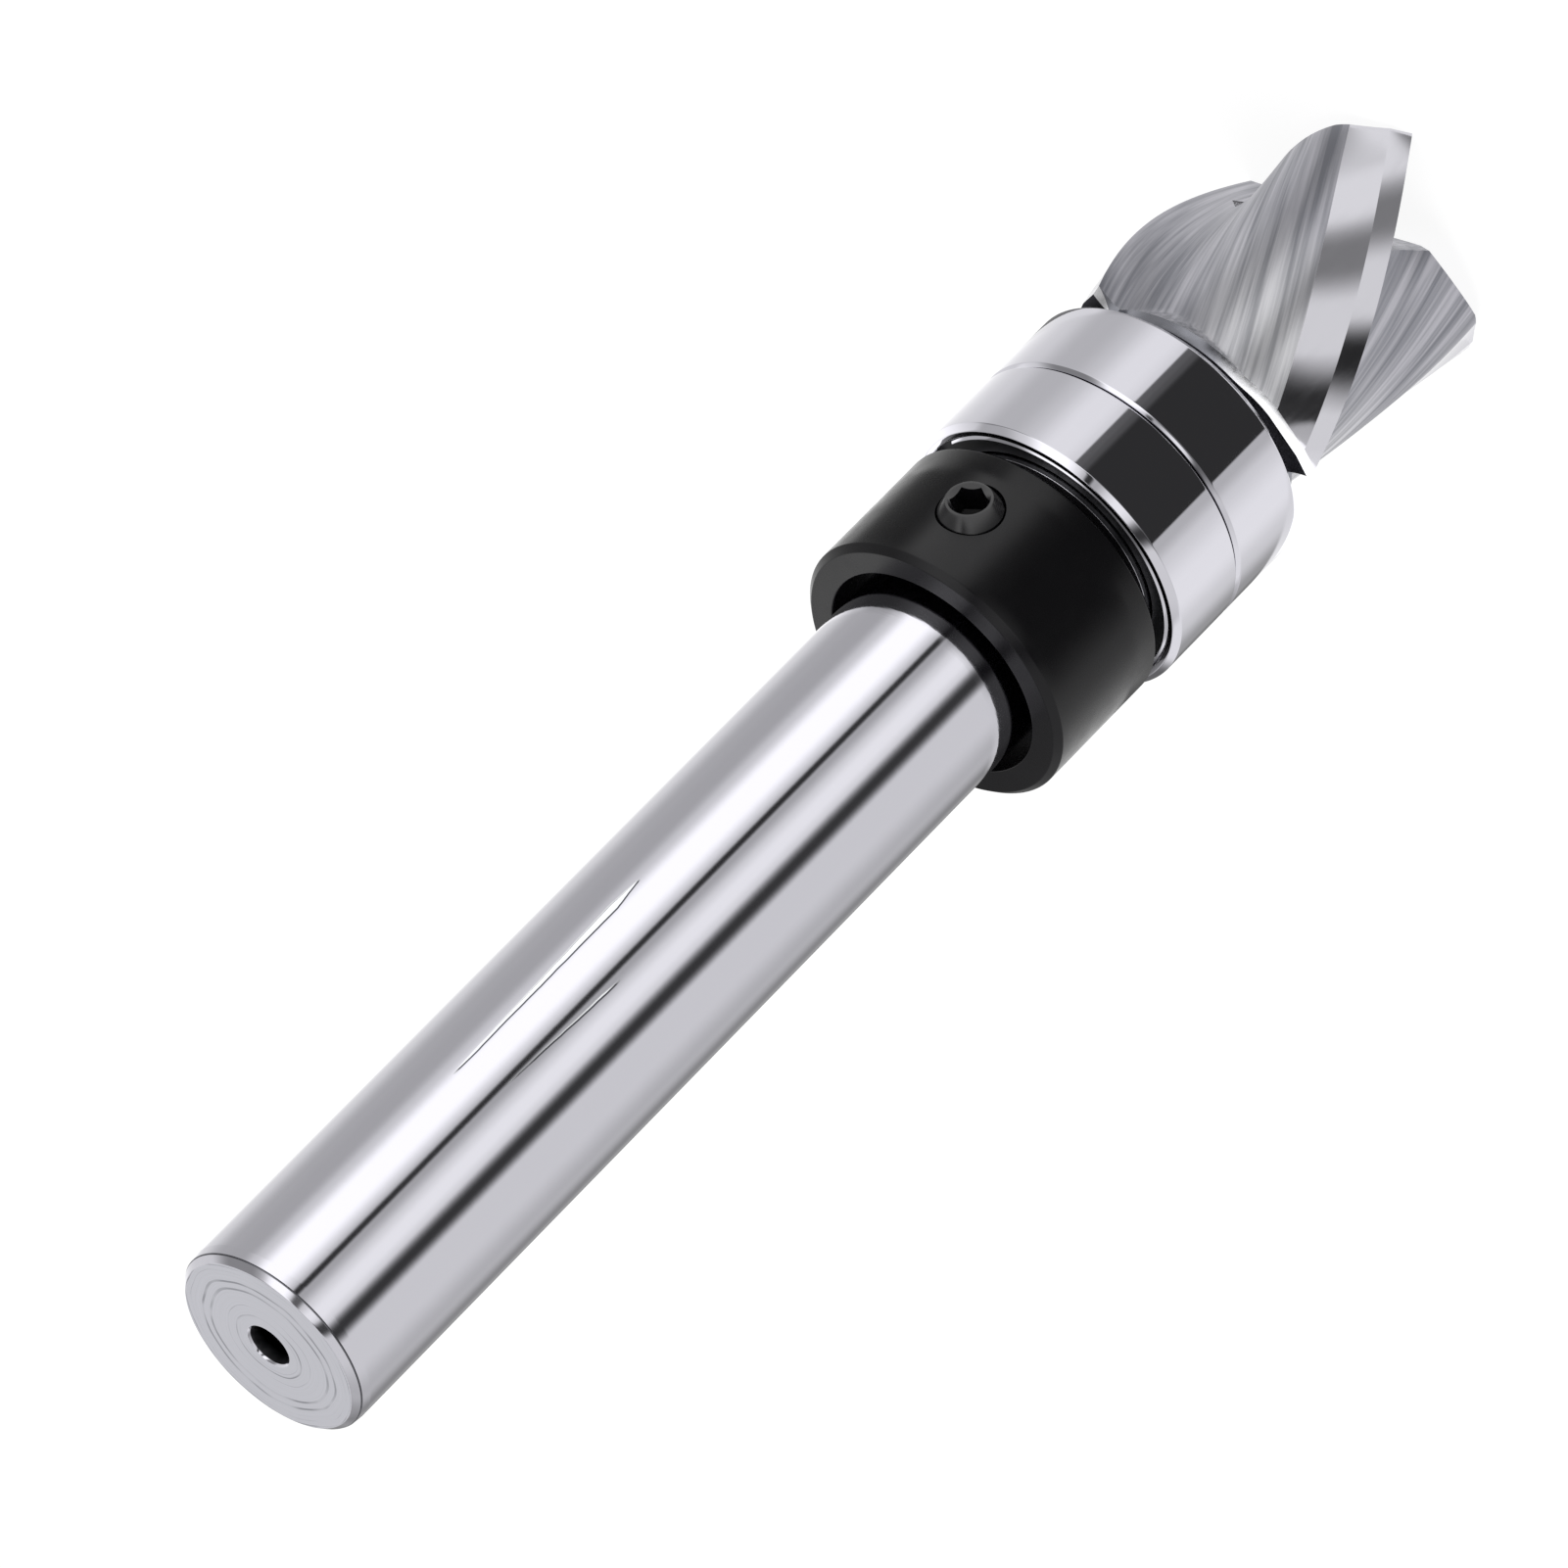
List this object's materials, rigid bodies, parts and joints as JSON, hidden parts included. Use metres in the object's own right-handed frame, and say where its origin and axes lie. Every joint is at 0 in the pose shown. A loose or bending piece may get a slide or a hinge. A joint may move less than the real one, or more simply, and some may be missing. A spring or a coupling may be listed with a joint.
{
  "type": "flush-trim router bit",
  "caption": "Spiral flush-trim router bit with a straight shank, a stop collar and guide bearings above the fluted cutting head.",
  "frame": {"origin": "on the tool axis in the plane of the three end-tooth corners, on which the tool stands head down", "axes": "+Z along the tool axis towards the shank end; -Y faces the side the picture shows"},
  "size_m": [0.019, 0.019, 0.1031],
  "materials": {
    "ground_steel": "polished shank and lands, ground flutes",
    "bearing_steel": "polished",
    "ball_steel": "mirror",
    "cage_steel": "pressed sheet",
    "shield_steel": "dark pressed sheet",
    "spacer_steel": "black oxide",
    "black_oxide": "black oxide, satin",
    "black_oxide_screw": "black oxide, semi-gloss"
  },
  "bodies": {
    "cutter": {"cutter_body": "ground_steel", "stop_collar": "black_oxide", "set_screw": "black_oxide_screw", "spacer": "spacer_steel", "bearing_1_inner_ring": "bearing_steel", "bearing_2_inner_ring": "bearing_steel"},
    "bearing_1_outer": {"bearing_1_outer_ring": "bearing_steel", "bearing_1_shield_upper": "shield_steel", "bearing_1_shield_lower": "shield_steel", "bearing_1_snap_ring_upper": "bearing_steel", "bearing_1_snap_ring_lower": "bearing_steel"},
    "bearing_1_cage": {"bearing_1_cage": "cage_steel", "bearing_1_balls": "ball_steel"},
    "bearing_2_outer": {"bearing_2_outer_ring": "bearing_steel", "bearing_2_shield_upper": "shield_steel", "bearing_2_shield_lower": "shield_steel", "bearing_2_snap_ring_upper": "bearing_steel", "bearing_2_snap_ring_lower": "bearing_steel"},
    "bearing_2_cage": {"bearing_2_cage": "cage_steel", "bearing_2_balls": "ball_steel"}
  },
  "joints": [
    {"name": "bearing_1_spin", "type": "hinge", "parent": "cutter", "child": "bearing_1_outer", "pos_m": [0, 0, 0.0295], "axis": [0, 0, 1], "continuous": true},
    {"name": "bearing_1_cage_spin", "type": "hinge", "parent": "cutter", "child": "bearing_1_cage", "pos_m": [0, 0, 0.0295], "axis": [0, 0, 1], "continuous": true},
    {"name": "bearing_2_spin", "type": "hinge", "parent": "cutter", "child": "bearing_2_outer", "pos_m": [0, 0, 0.02363], "axis": [0, 0, 1], "continuous": true},
    {"name": "bearing_2_cage_spin", "type": "hinge", "parent": "cutter", "child": "bearing_2_cage", "pos_m": [0, 0, 0.02363], "axis": [0, 0, 1], "continuous": true}
  ],
  "couplings": [
    {"joint": "bearing_1_cage_spin", "follows": "bearing_1_spin", "ratio": 0.55},
    {"joint": "bearing_2_cage_spin", "follows": "bearing_2_spin", "ratio": 0.55}
  ]
}
